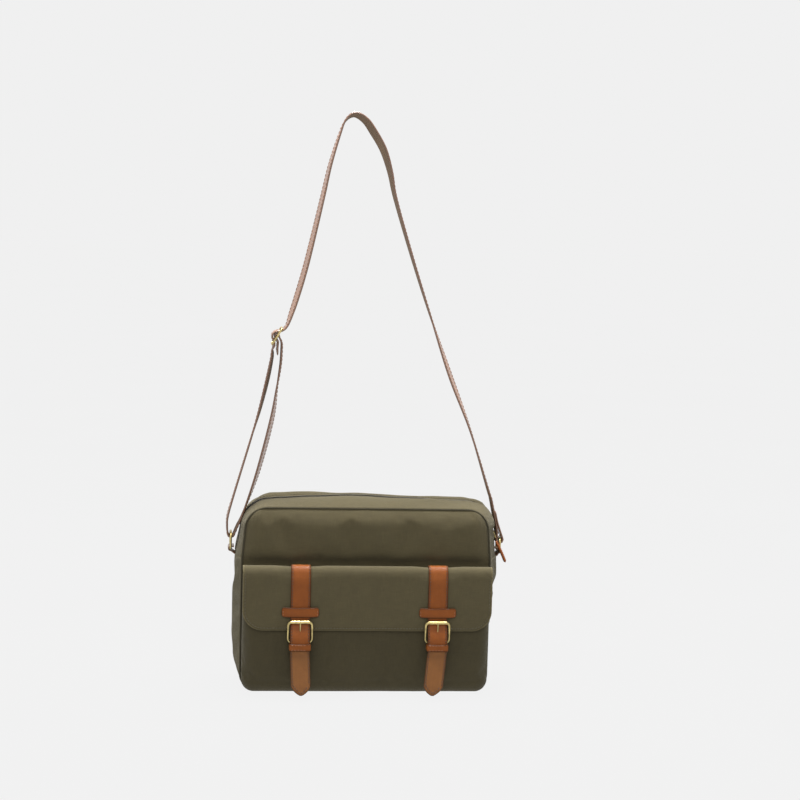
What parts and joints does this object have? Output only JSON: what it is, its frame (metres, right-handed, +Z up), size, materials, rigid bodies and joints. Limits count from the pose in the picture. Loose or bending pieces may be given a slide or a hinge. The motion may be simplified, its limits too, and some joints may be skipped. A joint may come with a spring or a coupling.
{
  "type": "messenger bag",
  "caption": "Zipped canvas messenger bag with a flap pocket, buckled leather straps and an adjustable leather shoulder strap.",
  "frame": {"origin": "middle of the base, on the surface the bag stands on", "axes": "+Z up along the shoulder strap, -Y towards the flap pocket's front, +X towards the closed end of the zip"},
  "size_m": [0.3648, 0.1508, 0.7382],
  "materials": {
    "canvas": "olive waxed cotton canvas, plain weave",
    "piping": "dark olive corded piping",
    "lining_cloth": "khaki cotton lining",
    "zip_tape": "olive herringbone zip tape",
    "zip_teeth": "dark coil zip teeth",
    "board": "stiff board",
    "tan_leather": "smooth tan leather, edge stitched",
    "strap_leather": "brown leather with dark edges",
    "brass": "antique brass"
  },
  "bodies": {
    "bag": {"front_panel": "canvas", "back_panel": "canvas", "side_gusset": "canvas", "top_gusset_front": "canvas", "top_gusset_back": "canvas", "piping_front": "piping", "piping_back": "piping", "lining": "lining_cloth", "base_board": "board", "slip_pocket": "lining_cloth", "front_pocket": "canvas", "flap_top": "canvas", "zip_tape_front": "zip_tape", "zip_tape_back": "zip_tape", "zip_teeth_front": "zip_teeth", "zip_teeth_back": "zip_teeth", "zip_end_left": "canvas", "ring_tab_left": "strap_leather", "strap_top_left": "tan_leather", "snap_socket_left": "brass", "zip_end_right": "canvas", "ring_tab_right": "strap_leather", "strap_top_right": "tan_leather", "snap_socket_right": "brass", "shoulder_strap": "strap_leather", "strap_adjuster": "brass"},
    "flap": {"flap": "canvas", "flap_lining": "lining_cloth", "strap_left": "tan_leather", "keeper_band_left": "tan_leather", "buckle_frame_left": "brass", "chape_left": "tan_leather", "keeper_loop_left": "tan_leather", "snap_stud_left": "brass", "strap_right": "tan_leather", "keeper_band_right": "tan_leather", "buckle_frame_right": "brass", "chape_right": "tan_leather", "keeper_loop_right": "tan_leather", "snap_stud_right": "brass"},
    "tail_left": {"tail_left": "tan_leather"},
    "tail_right": {"tail_right": "tan_leather"},
    "prong_left": {"buckle_prong_left": "brass"},
    "prong_right": {"buckle_prong_right": "brass"},
    "zip_slider": {"zip_slider": "brass"},
    "zip_pull": {"zip_link": "brass", "zip_pull": "tan_leather"},
    "ring_left": {"ring_left": "brass"},
    "ring_right": {"ring_right": "brass"}
  },
  "joints": [
    {"name": "flap_hinge", "type": "hinge", "parent": "bag", "child": "flap", "pos_m": [0, -0.0757, 0.164], "axis": [-1, 0, 0], "range_deg": [0, 165]},
    {"name": "tail_left_bend", "type": "hinge", "parent": "flap", "child": "tail_left", "pos_m": [-0.0855, -0.0876, 0.0606], "axis": [-1, 0, 0], "range_deg": [-12, 60]},
    {"name": "tail_right_bend", "type": "hinge", "parent": "flap", "child": "tail_right", "pos_m": [0.089, -0.0876, 0.0606], "axis": [-1, 0, 0], "range_deg": [-12, 60]},
    {"name": "prong_left_lift", "type": "hinge", "parent": "flap", "child": "prong_left", "pos_m": [-0.0855, -0.0826, 0.0715], "axis": [1, 0, 0], "range_deg": [0, 8]},
    {"name": "prong_right_lift", "type": "hinge", "parent": "flap", "child": "prong_right", "pos_m": [0.089, -0.0826, 0.0715], "axis": [1, 0, 0], "range_deg": [0, 8]},
    {"name": "zip_run", "type": "hinge", "parent": "bag", "child": "zip_slider", "pos_m": [0.128, 0, 0.2085], "axis": [0, -1, 0], "range_deg": [0, 84]},
    {"name": "zip_pull_swing", "type": "hinge", "parent": "zip_slider", "child": "zip_pull", "pos_m": [0.1657, 0, 0.2075], "axis": [0, -1, 0], "range_deg": [-3, 11]},
    {"name": "ring_left_rock", "type": "hinge", "parent": "bag", "child": "ring_left", "pos_m": [-0.1735, 0, 0.1775], "axis": [0, 1, 0], "range_deg": [-3.5, 3.5]},
    {"name": "ring_right_rock", "type": "hinge", "parent": "bag", "child": "ring_right", "pos_m": [0.1765, 0, 0.1775], "axis": [0, 1, 0], "range_deg": [-3.5, 3.5]}
  ]
}
